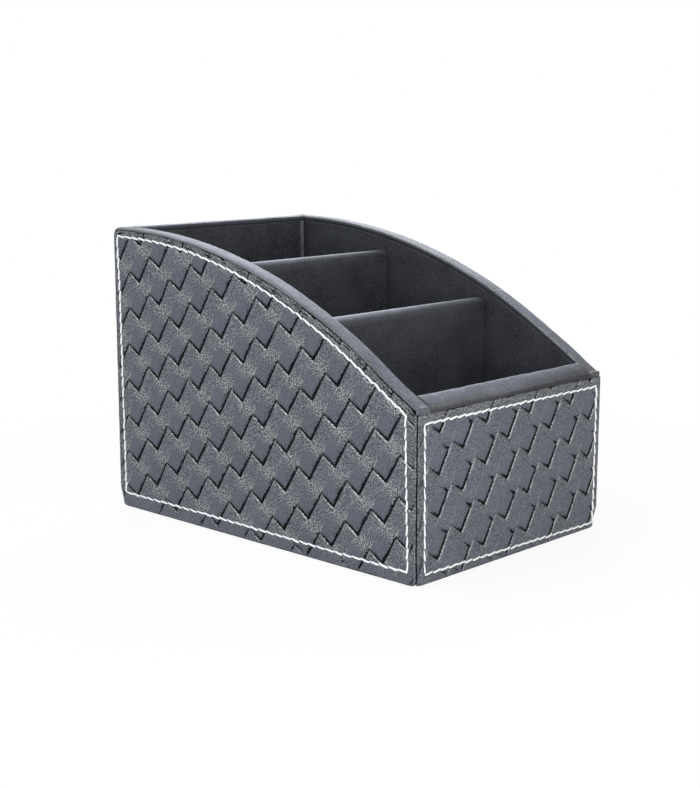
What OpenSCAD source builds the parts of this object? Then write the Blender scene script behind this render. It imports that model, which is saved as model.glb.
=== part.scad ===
/* [Overall] */
// Width across the two side skins
body_w = 120; // [90:1:180]
// Depth from the front skin to the back skin
body_d = 180; // [150:1:210]
// Height of the rim at the back
back_h = 128.2; // [121:0.1:150]
// Height of the side rims at the front face, before their edge is rounded
front_h = 70; // [55:0.5:78]

/* [Arched side tops] */
// Fall of the straight stretch of the side tops, in degrees
fall = 31.5; // [26:0.5:35]
// Level stretch of the side tops next to the back face
level_run = 6; // [4:0.5:20]

/* [Layers] */
// Thickness of the stiff wall boards
board_t = 4.4; // [3:0.1:6]
// Thickness of the base board
base_t = 3; // [2:0.1:6]
// Thickness of the two divider boards
divider_board_t = 1.8; // [1.2:0.1:4]
// Thickness of the outer skin, up to the crests of its weave
skin_t = 1.6; // [1.4:0.1:2.4]
// Thickness of the skin's hem under the wall boards
hem_t = 0.8; // [0.5:0.1:1.4]
// Thickness of the smooth lining
lining_t = 1; // [0.6:0.1:1.6]
// Thickness of the base cloth
cloth_t = 0.8; // [0.5:0.1:1.5]
// Inset of the base cloth from the outer faces
cloth_in = 3; // [2:0.5:5]
// Room left for the glue between two layers
glue = 0.1; // [0.05:0.05:0.2]

/* [Edges] */
// Radius of the four upright corners
corner_r = 2.2; // [1:0.1:4]
// Radius of the edges next to the ground
foot_r = 2.6; // [1:0.1:4]
// Width of the open seam down each upright corner
seam_w = 1; // [0.4:0.1:1.6]

/* [Rim] */
// Height of the binding on the outside of the side walls
rim_h = 2.2; // [1.8:0.1:4]
// Thickness of the binding over the top of the boards
rim_t = 1.1; // [0.8:0.1:1.5]
// Radius of the binding's rolled edges
rim_r = 1.9; // [0.8:0.1:2.4]
// How far the binding lies behind the face of the skin
rim_set = 0.3; // [0.1:0.05:0.6]
// How far the front rim lies below the side rims
front_step = 1.5; // [0.8:0.1:2]

/* [Compartments] */
// Clear depth of the front compartment
front_room = 50; // [35:1:60]
// Clear depth of the middle compartment
middle_room = 55; // [35:1:65]
// How far the front divider stops below the side rims
front_divider_drop = 6.2; // [4:0.1:20]
// How far the rear divider stops below the side rims
rear_divider_drop = 8.2; // [4:0.1:20]
// Radius of the dividers' top corners
divider_corner_r = 2.4; // [1:0.1:3]

/* [Weave] */
// Length of a steep crease between two strands
steep_len = 14.2; // [11:0.1:20]
// Angle of the steep creases above the ground line, in degrees
steep_angle = 59; // [45:1:75]
// Length of a falling crease
fall_len = 8.1; // [6.5:0.1:12]
// Angle of the falling creases below the ground line, in degrees
fall_angle = 33; // [15:1:50]
// Width of a crease
crease_w = 1.4; // [0.8:0.1:2]
// Depth of the creases and of the channel under the stitches
weave_h = 0.8; // [0.5:0.05:1.1]
// Foot of one steep crease on the side panels, along the panel and up
side_start = [7.4, 67.2];
// Foot of one steep crease on the front and back panels, along and up
front_start = [-4.3, 50];

/* [Stitching] */
// Distance from one stitch to the next
stitch_pitch = 4.85; // [3.5:0.05:8]
// Bare stretch between two stitches
stitch_gap = 0.55; // [0.3:0.05:1.5]
// Thickness of the thread
thread_d = 1.1; // [0.6:0.05:1.3]
// Room on either side of the stitches in their channel
channel_room = 0.1; // [0.05:0.05:0.4]
// Distance from the skin's top edge to the stitches
stitch_top = 3.6; // [3:0.1:8]
// Distance from the upright corners to the stitches
stitch_side = 4.7; // [4:0.1:10]
// Height of the lowest stitches on the side and back panels
stitch_foot = 6; // [4.5:0.1:12]
// Height of the lowest stitches on the front panel
front_stitch_foot = 4.5; // [4.5:0.1:12]
// Slant of each stitch to its row, in degrees
stitch_slant = 6; // [0:0.5:8]

/* [Hidden] */

half_w = body_w / 2;
half_d = body_d / 2;
// A length that reaches past every face
past = 2 * (body_w + body_d + back_h);

// Distances from the outer face to each layer's two faces
skin_in = skin_t;
board_out = skin_in + glue;
board_in = board_out + board_t;
lining_out = board_in + glue;
wall_t = lining_out + lining_t;

// Levels above the ground
hem_z = cloth_t + glue;
wall_z = hem_z + hem_t + glue;
base_z = cloth_t + glue;
floor_z = base_z + base_t + glue;

// The arch touches the level stretch at its own top and the straight stretch at its foot
level_y = half_d - level_run;
knee_y = -half_d + (back_h - front_h) / tan(fall);
arch_r = (level_y - knee_y) / tan(fall / 2);
arch_z = back_h - arch_r;
// Straight stretches that the arch is made of
stretches = 24;

// Where the front wall's layers end
skin_top_front = front_h - rim_h / cos(fall) - glue;
skin_top_back = back_h - rim_h - glue;

// The front rim's inner edge is rounded as far as its leg allows
front_rim_r = min(rim_r, 0.9 * rim_h * tan(45 - fall / 2));

// The dividers
divider_t = divider_board_t + 2 * (glue + lining_t);
front_divider_y = -half_d + wall_t + front_room;
rear_divider_y = front_divider_y + divider_t + middle_room;
room_half_w = half_w - wall_t;

// Steps along the two kinds of crease
steep = steep_len * [cos(steep_angle), sin(steep_angle)];
falling = fall_len * [cos(fall_angle), -sin(fall_angle)];
crease_across = abs(steep.x * falling.y - steep.y * falling.x);
// How far the woven ground reaches into the skin under its pocket
weave_root = (skin_t - weave_h) / 2;
// Half a crease as a share of a step, along the steep and along the falling creases
steep_share = crease_w * fall_len / crease_across / 2;
falling_share = crease_w * steep_len / crease_across / 2;

// The channel is wide enough for the slanted stitches
channel_w = thread_d + (stitch_pitch - stitch_gap) * sin(stitch_slant) + 2 * channel_room;

skin_colour = "#5b5e64";
lining_colour = "#2f3034";
rim_colour = "#6d7077";
board_colour = "#a88f6a";
cloth_colour = "#26272a";
thread_colour = "#f4f4f0";

// Where the side tops, lowered square to themselves by d, leave the arch for the straight stretch
function tangent(d) = on_arch(fall, d);
// Height of the straight stretch, lowered by d, at a place along the depth
function slope_z(y, d) = tangent(d).y - (tangent(d).x - y) * tan(fall);
// Height of the side tops at a place along the depth
function top_z(y) =
    y > level_y ? back_h
    : y < tangent(0).x ? slope_z(y, 0)
    : arch_z + sqrt(arch_r * arch_r - (level_y - y) * (level_y - y));

front_divider_top = top_z(front_divider_y + divider_t / 2) - front_divider_drop;
rear_divider_top = top_z(rear_divider_y + divider_t / 2) - rear_divider_drop;

// A place on the arch lowered by d, where it has turned by a from the level: along the depth, and up
function on_arch(a, d) = [level_y - (arch_r - d) * sin(a), arch_z + (arch_r - d) * cos(a)];
// The side tops lowered by d, from in front of the part to behind it, the arch in short stretches
function side_top(d) = [
    [-half_d - 1, slope_z(-half_d - 1, d)],
    for (k = [stretches:-1:0]) on_arch(fall * k / stretches, d),
    [half_d + 1, back_h - d]
];

// Outline of a side, seen along the width: from front to back and from foot up to the tops lowered by d
module side_outline(front, back, foot, d) {
    intersection() {
        rectangle([front, foot], [back, back_h]);
        polygon([[-half_d - 1, -1], each side_top(d), [half_d + 1, -1]]);
    }
}

// A rectangle from one corner to the other
module rectangle(from, to) {
    translate(from) square(to - from);
}

// A rectangle about the origin with round corners
module round_rectangle(w, d, r) {
    square([w - 2 * r, d], center = true);
    square([w, d - 2 * r], center = true);
    for (x = [-1, 1], y = [-1, 1])
        translate([x * (w / 2 - r), y * (d / 2 - r)]) circle(r = r, $fn = 48);
}

// An upright strip about the origin with its two lower corners round and its foot at z
module round_foot(w, z, h, r) {
    rectangle([-w / 2 + r, z], [w / 2 - r, h]);
    rectangle([-w / 2, z + r], [w / 2, h]);
    for (x = [-1, 1]) translate([x * (w / 2 - r), z + r]) circle(r = r, $fn = 48);
}

// An upright strip about the origin with its two upper corners round
module round_head(w, z, h, r) {
    rectangle([-w / 2 + r, z], [w / 2 - r, h]);
    rectangle([-w / 2, z], [w / 2, h - r]);
    for (x = [-1, 1]) translate([x * (w / 2 - r), h - r]) circle(r = r, $fn = 48);
}

// Draws an outline of depth and height as a slab between two places along the width
module across_width(x0, x1) {
    translate([x0, 0, 0]) rotate([90, 0, 90]) linear_extrude(x1 - x0) children();
}

// Draws an outline of width and height as a slab between two places along the depth
module along_depth(y0, y1) {
    translate([0, y1, 0]) rotate([90, 0, 0]) linear_extrude(y1 - y0) children();
}

// Lays a panel that is drawn flat, face up, on the outer face that looks to the given side
module on_face(turn, reach) {
    rotate([90, 0, turn]) translate([0, 0, reach]) children();
}

// The whole outer form, with round corners and foot, before the inside is taken out
module outer_form(top) {
    intersection() {
        translate([0, 0, hem_z]) linear_extrude(past) round_rectangle(body_w, body_d, corner_r);
        along_depth(-past, past) round_foot(body_w, hem_z, past, foot_r);
        across_width(-past, past) round_foot(body_d, hem_z, past, foot_r);
        across_width(-past, past) children();
    }
}

// What the skins fold round: the wall boards, and the room between the hems
module inner_form() {
    translate([-half_w + skin_in, -half_d + skin_in, hem_z + hem_t])
        cube([body_w - 2 * skin_in, body_d - 2 * skin_in, past]);
    translate([-half_w + board_in, -half_d + board_in, -past])
        cube([body_w - 2 * board_in, body_d - 2 * board_in, 2 * past]);
}

// Open seams down the upright corners
module corner_seams() {
    nose = corner_r * (1 - sqrt(1 / 2));
    for (x = [-1, 1], y = [-1, 1])
        translate([x * (half_w - nose), y * (half_d - nose), -past])
            cylinder(d = seam_w, h = 2 * past, $fn = 24);
}

// Mitred share of the outer form that belongs to one side panel, on the right
module side_share() {
    k = board_in + 1;
    translate([0, 0, -past]) linear_extrude(2 * past) polygon([
        [half_w + 1, -half_d - 1 + glue], [half_w - k, -half_d + k + glue],
        [half_w - k, half_d - k - glue], [half_w + 1, half_d + 1 - glue]
    ]);
}

// Mitred share of the outer form that belongs to the panel at the back
module end_share() {
    k = board_in + 1;
    translate([0, 0, -past]) linear_extrude(2 * past) polygon([
        [-half_w - 1 + glue, half_d + 1], [-half_w + k + glue, half_d - k],
        [half_w - k - glue, half_d - k], [half_w + 1 - glue, half_d + 1]
    ]);
}

// Outline of the ground inside the stitches of a side panel, larger by grow
module side_field(grow) {
    edge = half_d - stitch_side + grow;
    side_outline(-edge, edge, stitch_foot - grow, rim_h + glue + stitch_top - grow);
}

// Outline of the ground inside the stitches of the front or the back panel, larger by grow
module end_field(foot, top, grow) {
    edge = half_w - stitch_side + grow;
    rectangle([-edge, foot - grow], [edge, top - stitch_top + grow]);
}

// A woven sheet, flat underneath, for the ground of a panel under its lid, a function of the place along.
// It is a grid of slanted cells, as long as a steep and a falling crease. In every other cell a steep
// strand lies over, with creases at its right and at its foot. In the rest a falling strand lies over,
// with creases at its left and at its head, so that each cell is its neighbour turned half round.
module weave_sheet(start, from, to, lid) {
    corners = [from - start, [from.x, to.y] - start, [to.x, from.y] - start, to - start];
    det = steep.x * falling.y - steep.y * falling.x;
    rows = [for (c = corners) (c.x * falling.y - c.y * falling.x) / det];
    cols = [for (c = corners) (steep.x * c.y - steep.y * c.x) / det];
    k0 = floor(min(rows)) - 1;
    k1 = ceil(max(rows)) + 1;
    m0 = floor(min(cols)) - 1;
    m1 = ceil(max(cols)) + 1;
    function spot(k, m) = start + k * steep + m * falling;
    function inside(p) = p.x > from.x && p.x < to.x && p.y > from.y && p.y < min(to.y, lid(p.x));
    used = [
        for (k = [k0:k1]) [
            for (m = [m0:m1])
                len([for (i = [0, 0.5, 1], j = [0, 0.5, 1]) if (inside(spot(k + i, m + j))) 1]) > 0
        ]
    ];
    function is_used(k, m) = k >= k0 && k < k1 && m >= m0 && m < m1 && used[k - k0][m - m0];
    function steep_over(k, m) = (k + m) % 2 != 0;
    function top(k, m, level) = [each spot(k, m), weave_h * level];
    gs = steep_share;
    gf = falling_share;
    // Eight points for each cell: its first corner, that corner's foot, two on the edge along the
    // falling way, two on the edge along the steep way, the lip inside its creases, and its crown
    points = [
        for (k = [k0:k1], m = [m0:m1]) each [
            top(k, m, 0), [each spot(k, m), -weave_root],
            top(k, m + gf, 0.55), top(k, m + 1 - gf, 0.9),
            top(k + gs, m, 0.6), top(k + 1 - gs, m, 0.85),
            steep_over(k, m) ? top(k + gs, m + 1 - gf, 0.85) : top(k + 1 - gs, m + gf, 0.6),
            top(k + 0.5, m + 0.5, steep_over(k, m) ? 1 : 0.85)
        ]
    ];
    function id(k, m, n) = 8 * ((k - k0) * (m1 - m0 + 1) + m - m0) + n;
    // Corners of a cell where its creases meet, where each ends, and opposite, then the soft edges' points
    function cell(k, m) = steep_over(k, m)
        ? [id(k, m + 1, 0), id(k + 1, m + 1, 0), id(k, m, 0), id(k + 1, m, 0),
            id(k + 1, m, 2), id(k + 1, m, 3), id(k, m, 4), id(k, m, 5)]
        : [id(k + 1, m, 0), id(k, m, 0), id(k + 1, m + 1, 0), id(k, m + 1, 0),
            id(k, m, 3), id(k, m, 2), id(k, m + 1, 5), id(k, m + 1, 4)];
    function faces_of(c, lip, crown) = [
        [lip, c[5], c[1]], [lip, c[1], c[0]], [lip, c[0], c[2]], [lip, c[2], c[6]],
        [c[3], c[4], c[7]],
        [crown, lip, c[6]], [crown, c[6], c[7]], [crown, c[7], c[4]], [crown, c[4], c[5]], [crown, c[5], lip]
    ];
    cells = [for (k = [k0:k1 - 1], m = [m0:m1 - 1]) if (is_used(k, m)) [k, m]];
    tops = [for (c = cells) each faces_of(cell(c.x, c.y), id(c.x, c.y, 6), id(c.x, c.y, 7))];
    floors = [
        for (c = cells)
            [id(c.x, c.y, 1), id(c.x, c.y + 1, 1), id(c.x + 1, c.y + 1, 1), id(c.x + 1, c.y, 1)]
    ];
    walls = [
        for (c = cells)
            let (k = c.x, m = c.y, soft = steep_over(k, m)) each [
                if (!is_used(k - 1, m)) [
                    id(k, m + 1, 1), id(k, m, 1), id(k, m, 0),
                    each (soft ? [] : [id(k, m, 2), id(k, m, 3)]), id(k, m + 1, 0)
                ],
                if (!is_used(k, m + 1)) [
                    id(k + 1, m + 1, 1), id(k, m + 1, 1), id(k, m + 1, 0),
                    each (soft ? [] : [id(k, m + 1, 4), id(k, m + 1, 5)]), id(k + 1, m + 1, 0)
                ],
                if (!is_used(k + 1, m)) [
                    id(k + 1, m, 1), id(k + 1, m + 1, 1), id(k + 1, m + 1, 0),
                    each (soft ? [id(k + 1, m, 3), id(k + 1, m, 2)] : []), id(k + 1, m, 0)
                ],
                if (!is_used(k, m - 1)) [
                    id(k, m, 1), id(k + 1, m, 1), id(k + 1, m, 0),
                    each (soft ? [id(k, m, 5), id(k, m, 4)] : []), id(k, m, 0)
                ]
            ]
    ];
    polyhedron(points = points, faces = concat(tops, floors, walls), convexity = 4);
}

// The woven ground of a panel, lying face up, cut to the outline that is given
module weave_ground(start, from, to, lid) {
    intersection() {
        weave_sheet(start, from, to, lid);
        translate([0, 0, -2 * weave_h]) linear_extrude(4 * weave_h) children();
    }
}

// One stitch along the first axis: a short thread with drawn-in ends
module stitch(length) {
    r = thread_d / 2;
    rotate([0, 90, 0]) translate([0, 0, -length / 2]) rotate_extrude($fn = 24) polygon([
        [0, 0], [r / 2, 0], [r, r], [r, length - r], [r / 2, length], [0, length]
    ]);
}

// A stitch on a panel at a place, for a row that runs at an angle
module placed_stitch(place, angle, pitch) {
    translate([each place, thread_d / 2 + glue / 2])
        rotate([0, 0, angle]) stitch(pitch - stitch_gap);
}

// A straight row of stitches on a panel, from p to q
module stitch_row(p, q, lean) {
    count = round(norm(q - p) / stitch_pitch);
    step = (q - p) / max(count, 1);
    for (k = [0:1:count - 1])
        placed_stitch(p + (k + 0.5) * step, atan2(step.y, step.x) + lean, norm(step));
}

// All stitches of a side panel, which lean by a small angle to their rows
module side_stitches(lean) {
    d = rim_h + glue + stitch_top;
    edge = half_d - stitch_side;
    r = arch_r - d;
    count = round(r * fall * PI / 180 / stitch_pitch);
    step = fall / count;
    stitch_row([-edge, stitch_foot], [-edge, slope_z(-edge, d)], lean);
    stitch_row([-edge, slope_z(-edge, d)], tangent(d), lean);
    for (a = [step / 2:step:fall])
        placed_stitch([level_y - r * sin(a), arch_z + r * cos(a)], a + lean, r * step * PI / 180);
    stitch_row([level_y, back_h - d], [edge, back_h - d], lean);
    stitch_row([edge, back_h - d], [edge, stitch_foot], lean);
    stitch_row([edge, stitch_foot], [-edge, stitch_foot], lean);
}

// All stitches of the front or the back panel
module end_stitches(foot, top) {
    edge = half_w - stitch_side;
    head = top - stitch_top;
    stitch_row([-edge, foot], [-edge, head], stitch_slant);
    stitch_row([-edge, head], [edge, head], stitch_slant);
    stitch_row([edge, head], [edge, foot], stitch_slant);
    stitch_row([edge, foot], [-edge, foot], stitch_slant);
}

// Plain side skin on the right, with its hem and the pocket inside the stitches
module side_skin() {
    difference() {
        intersection() {
            outer_form() side_outline(-half_d - 1, half_d + 1, 0, rim_h + glue);
            side_share();
        }
        inner_form();
        corner_seams();
        across_width(half_w - weave_h, past) side_field(channel_w / 2);
    }
}

// Plain skin of the back panel, or of the front panel when it is turned, with its pocket
module end_skin(foot, top) {
    difference() {
        intersection() {
            outer_form() rectangle([-past, 0], [past, top]);
            end_share();
        }
        inner_form();
        corner_seams();
        along_depth(half_d - weave_h, past) end_field(foot, top, channel_w / 2);
    }
}

// Side board on the right
module side_board() {
    across_width(half_w - board_in, half_w - board_out)
        side_outline(-half_d + board_out, half_d - board_out, wall_z, rim_t + glue);
}

// Outline of the front board, seen along the width, larger by grow
module front_board_outline(grow) {
    y0 = -half_d + board_out - grow;
    y1 = -half_d + board_in + grow;
    drop = front_step + (rim_t + glue - grow) / cos(fall);
    polygon([[y0, wall_z], [y0, slope_z(y0, 0) - drop], [y1, slope_z(y1, 0) - drop], [y1, wall_z]]);
}

// Outline of the back board, seen along the width, larger by grow
module back_board_outline(grow) {
    rectangle(
        [half_d - board_in - grow, wall_z],
        [half_d - board_out + grow, back_h - rim_t - glue + grow]
    );
}

// Cross-section of a rolled binding: w wide, h high, crest at zero, upper corners round
module rim_section(w, h) {
    intersection() {
        rectangle([0, -h], [w, 0]);
        union() {
            rectangle([0, -h], [w, -rim_r]);
            rectangle([rim_r, -h], [w - rim_r, 0]);
            for (x = [rim_r, w - rim_r]) translate([x, -rim_r]) circle(r = rim_r, $fn = 48);
        }
    }
}

// Points of a rounded corner at b, on the way from a to c
function rounded(a, b, c, r, steps = 6) =
    let (
        u = (a - b) / norm(a - b), v = (c - b) / norm(c - b),
        half = acos(u * v) / 2,
        hub = b + (u + v) / norm(u + v) * r / sin(half),
        from = b + u * r / tan(half) - hub, to = b + v * r / tan(half) - hub,
        turn = 180 - 2 * half, sense = from.x * to.y - from.y * to.x > 0 ? 1 : -1
    )
    [for (k = [0:steps])
        let (t = sense * turn * k / steps)
            hub + [from.x * cos(t) - from.y * sin(t), from.x * sin(t) + from.y * cos(t)]];

// The binding of the right side wall as a solid bar, swept along the side tops in short stretches
module side_rim_bar() {
    w = wall_t - rim_set;
    stops = stretches + 3;
    // Section of the bar: across the wall from its inner face, and down from its crest
    ring = [
        [0, rim_h], each rounded([0, rim_h], [0, 0], [w, 0], rim_r),
        each rounded([0, 0], [w, 0], [w, rim_h], rim_r), [w, rim_h]
    ];
    points = [for (p = ring) for (place = side_top(p.y)) [half_w - wall_t + p.x, each place]];
    sides = [
        for (i = [0:len(ring) - 1], k = [0:stops - 2])
            let (from = i * stops + k, to = (i + 1) % len(ring) * stops + k) [from, from + 1, to + 1, to]
    ];
    front_end = [for (i = [0:len(ring) - 1]) i * stops];
    back_end = [for (i = [len(ring) - 1:-1:0]) i * stops + stops - 1];
    polyhedron(points = points, faces = [each sides, front_end, back_end]);
}

// The binding of the right side wall, rolled over its board and folded down at both ends
module side_rim() {
    end = half_d - wall_t - glue;
    difference() {
        intersection() {
            side_rim_bar();
            linear_extrude(past) round_rectangle(body_w - 2 * rim_set, body_d - 2 * rim_set, corner_r);
        }
        across_width(half_w - board_in - glue, half_w - board_out + glue)
            side_outline(-half_d + board_out - glue, half_d - board_out + glue, 0, rim_t);
        for (y = [-end - past, end])
            translate([half_w - wall_t - 1, y, 0]) cube([wall_t + 1 - board_in, past, past]);
    }
}

// Lining of the right side wall, up to the inner edge of its rim
module side_lining() {
    end = half_d - wall_t - glue;
    across_width(half_w - wall_t, half_w - lining_out) side_outline(-end, end, floor_z, rim_h + glue);
}

// The cloth over a divider's board, for a divider that starts at y: open underneath, its top edge rolled
module divider_cover(y, top) {
    r = divider_t / 2;
    span = room_half_w - glue;
    intersection() {
        across_width(-span, span) difference() {
            union() {
                rectangle([y, floor_z], [y + divider_t, top - r]);
                translate([y + r, top - r]) circle(r = r, $fn = 48);
            }
            rectangle([y + lining_t, floor_z - 1], [y + divider_t - lining_t, top - lining_t]);
        }
        along_depth(y, y + divider_t) round_head(2 * span, floor_z, top, divider_corner_r);
    }
}

// The stiff board inside a divider
module divider_board(y, top) {
    span = room_half_w - glue;
    along_depth(y + lining_t + glue, y + divider_t - lining_t - glue)
        round_head(2 * span, floor_z, top - lining_t - glue, divider_corner_r);
}

// Lining on the floor of a compartment between two places along the depth
module floor_lining(y0, y1) {
    translate([-room_half_w + glue, y0 + glue, floor_z])
        cube([2 * (room_half_w - glue), y1 - y0 - 2 * glue, lining_t]);
}

module base_cloth() {
    w = body_w - 2 * cloth_in;
    d = body_d - 2 * cloth_in;
    color(cloth_colour) translate([-w / 2, -d / 2, 0]) cube([w, d, cloth_t]);
}

module base_board() {
    w = body_w - 2 * (board_in + glue);
    d = body_d - 2 * (board_in + glue);
    color(board_colour) translate([-w / 2, -d / 2, base_z]) cube([w, d, base_t]);
}

module left_board() { color(board_colour) mirror([1, 0, 0]) side_board(); }
module right_board() { color(board_colour) side_board(); }

module front_board() {
    span = half_w - board_in - glue;
    color(board_colour) across_width(-span, span) front_board_outline(0);
}

module back_board() {
    span = half_w - board_in - glue;
    color(board_colour) across_width(-span, span) back_board_outline(0);
}

module rear_divider_board() { color(board_colour) divider_board(rear_divider_y, rear_divider_top); }
module front_divider_board() { color(board_colour) divider_board(front_divider_y, front_divider_top); }

module left_skin() {
    color(skin_colour) {
        mirror([1, 0, 0]) side_skin();
        on_face(-90, half_w - weave_h)
            weave_ground(side_start, [-half_d, 0], [half_d, back_h], function(u) top_z(-u))
            mirror([1, 0]) side_field(-channel_w / 2);
    }
}

module right_skin() {
    color(skin_colour) {
        side_skin();
        on_face(90, half_w - weave_h)
            weave_ground(side_start, [-half_d, 0], [half_d, back_h], function(u) top_z(u))
            side_field(-channel_w / 2);
    }
}

module front_skin() {
    color(skin_colour) {
        rotate([0, 0, 180]) end_skin(front_stitch_foot, skin_top_front);
        on_face(0, half_d - weave_h)
            weave_ground(front_start, [-half_w, 0], [half_w, skin_top_front], function(u) front_h)
            end_field(front_stitch_foot, skin_top_front, -channel_w / 2);
    }
}

module back_skin() {
    color(skin_colour) {
        end_skin(stitch_foot, skin_top_back);
        on_face(180, half_d - weave_h)
            weave_ground(front_start, [-half_w, 0], [half_w, skin_top_back], function(u) back_h)
            end_field(stitch_foot, skin_top_back, -channel_w / 2);
    }
}

module left_stitching() {
    color(thread_colour) on_face(-90, half_w - weave_h) mirror([1, 0, 0]) side_stitches(-stitch_slant);
}

module right_stitching() {
    color(thread_colour) on_face(90, half_w - weave_h) side_stitches(stitch_slant);
}

module front_stitching() {
    color(thread_colour) on_face(0, half_d - weave_h) end_stitches(front_stitch_foot, skin_top_front);
}

module back_stitching() {
    color(thread_colour) on_face(180, half_d - weave_h) end_stitches(stitch_foot, skin_top_back);
}

module left_rim() { color(rim_colour) mirror([1, 0, 0]) side_rim(); }
module right_rim() { color(rim_colour) side_rim(); }

module front_rim() {
    span = half_w - board_in - glue;
    y0 = -half_d + rim_set;
    y1 = -half_d + wall_t;
    foot = [y0, skin_top_front + glue];
    brow = [y0, slope_z(y0, front_step * cos(fall))];
    crest = [y1, slope_z(y1, front_step * cos(fall))];
    inside = [y1, crest.y - rim_h];
    color(rim_colour) across_width(-span, span) difference() {
        polygon([
            foot, each rounded(foot, brow, crest, front_rim_r),
            each rounded(brow, crest, inside, front_rim_r), inside
        ]);
        front_board_outline(glue);
    }
}

module back_rim() {
    span = half_w - board_in - glue;
    color(rim_colour) across_width(-span, span) difference() {
        translate([half_d - wall_t, back_h]) rim_section(wall_t - rim_set, rim_h);
        back_board_outline(glue);
    }
}

module left_lining() { color(lining_colour) mirror([1, 0, 0]) side_lining(); }
module right_lining() { color(lining_colour) side_lining(); }

module front_lining() {
    span = half_w - lining_out;
    y0 = -half_d + lining_out;
    y1 = -half_d + wall_t;
    top = slope_z(y1, front_step * cos(fall)) - rim_h - glue;
    color(lining_colour) across_width(-span, span)
        polygon([[y0, floor_z], [y0, top - lining_t * tan(fall)], [y1, top], [y1, floor_z]]);
}

module back_lining() {
    span = half_w - lining_out;
    color(lining_colour) across_width(-span, span)
        rectangle([half_d - wall_t, floor_z], [half_d - lining_out, back_h - rim_h - glue]);
}

module rear_divider_cover() { color(lining_colour) divider_cover(rear_divider_y, rear_divider_top); }
module front_divider_cover() { color(lining_colour) divider_cover(front_divider_y, front_divider_top); }

module rear_floor_lining() {
    color(lining_colour) floor_lining(rear_divider_y + divider_t, half_d - wall_t);
}

module middle_floor_lining() {
    color(lining_colour) floor_lining(front_divider_y + divider_t, rear_divider_y);
}

module front_floor_lining() {
    color(lining_colour) floor_lining(-half_d + wall_t, front_divider_y);
}

base_cloth();
base_board();
left_board();
right_board();
front_board();
back_board();
rear_divider_board();
front_divider_board();
left_skin();
right_skin();
front_skin();
back_skin();
left_stitching();
right_stitching();
front_stitching();
back_stitching();
left_rim();
right_rim();
front_rim();
back_rim();
left_lining();
right_lining();
front_lining();
back_lining();
rear_divider_cover();
front_divider_cover();
rear_floor_lining();
middle_floor_lining();
front_floor_lining();
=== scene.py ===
import math

import bpy
import numpy as np
from mathutils import Matrix


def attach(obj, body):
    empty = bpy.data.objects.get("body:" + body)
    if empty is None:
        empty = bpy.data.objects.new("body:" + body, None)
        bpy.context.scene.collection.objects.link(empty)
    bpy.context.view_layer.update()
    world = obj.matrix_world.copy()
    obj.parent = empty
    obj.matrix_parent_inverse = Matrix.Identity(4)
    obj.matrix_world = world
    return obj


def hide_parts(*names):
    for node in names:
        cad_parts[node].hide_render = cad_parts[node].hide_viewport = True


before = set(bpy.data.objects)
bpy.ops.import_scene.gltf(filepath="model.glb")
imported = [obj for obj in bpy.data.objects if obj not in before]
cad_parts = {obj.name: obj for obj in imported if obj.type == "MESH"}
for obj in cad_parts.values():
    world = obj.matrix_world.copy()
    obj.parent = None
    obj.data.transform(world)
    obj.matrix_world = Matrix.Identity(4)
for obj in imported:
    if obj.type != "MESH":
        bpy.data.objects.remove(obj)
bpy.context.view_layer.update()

# ---- sizes, in millimetres, as in the part's source
MM = 0.001
HALF_W, HALF_D = 60.0, 90.0
BACK_H, FRONT_H = 128.2, 70.0
FALL = math.radians(31.5)
LEVEL_Y = HALF_D - 6.0
KNEE_Y = -HALF_D + (BACK_H - FRONT_H) / math.tan(FALL)
ARCH_R = (LEVEL_Y - KNEE_Y) / math.tan(FALL / 2)
ARCH_Z = BACK_H - ARCH_R
SKIN_T = 1.6
BOARD_IN = 6.1
WALL_T = 7.2
HEM_Z = 0.9
FLOOR_Z = 4.0
RIM_H, RIM_OUT = 2.2, 0.45
# The side skins end this far under the side tops, behind the rim's outer edge
SKIN_DROP = 1.15
FRONT_STEP = 1.5
GLUE = 0.1
SKIN_TOP_FRONT = FRONT_H - RIM_H / math.cos(FALL) - GLUE
SKIN_TOP_BACK = BACK_H - RIM_H - GLUE
DIVIDER_T = 4.0
FRONT_DIVIDER_Y = -HALF_D + WALL_T + 50.0
REAR_DIVIDER_Y = FRONT_DIVIDER_Y + DIVIDER_T + 55.0
ROOM_HALF_W = HALF_W - WALL_T
ROOM_HALF_D = HALF_D - WALL_T
# The dividers end this far under the side tops
FRONT_DIVIDER_DROP, REAR_DIVIDER_DROP = 6.2, 7.7

# The weave: one steep and one falling crease as steps along and up a panel, and the crease that each panel starts from
SIDE_STEPS = ((7.465, 11.952), (6.623, -4.472))
END_STEPS = ((7.214, 12.443), (7.087, -4.290))
SIDE_START = (7.42, 67.24)
END_START = (-4.32, 50.05)
WEAVE_DEPTH = 1.05
# Stands for the distance to a crease where there is none
FAR = 1e3
PUFF = 0.7

# The stitches
PITCH, STITCH_LEN, THREAD_R = 4.85, 4.95, 0.44
STITCH_LEAN = math.radians(8)


# ---- the side tops
def on_slope(y, d):
    """Straight stretch of the side tops, lowered square to itself by d: a line through the front edge."""
    foot_y = LEVEL_Y - (ARCH_R - d) * math.sin(FALL)
    foot_z = ARCH_Z + (ARCH_R - d) * math.cos(FALL)
    return foot_z - (foot_y - y) * math.tan(FALL)


def side_top(y, d=0.0):
    """Height of the side tops lowered by d: a straight slope, then a circle about (LEVEL_Y, ARCH_Z), then level."""
    y = np.asarray(y, float)
    r = ARCH_R - d
    arch = ARCH_Z + np.sqrt(np.maximum(r * r - np.clip(LEVEL_Y - y, 0, r) ** 2, 0))
    foot_y = LEVEL_Y - r * math.sin(FALL)
    return np.where(y > LEVEL_Y, BACK_H - d, np.where(y < foot_y, on_slope(y, d), arch))


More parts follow.
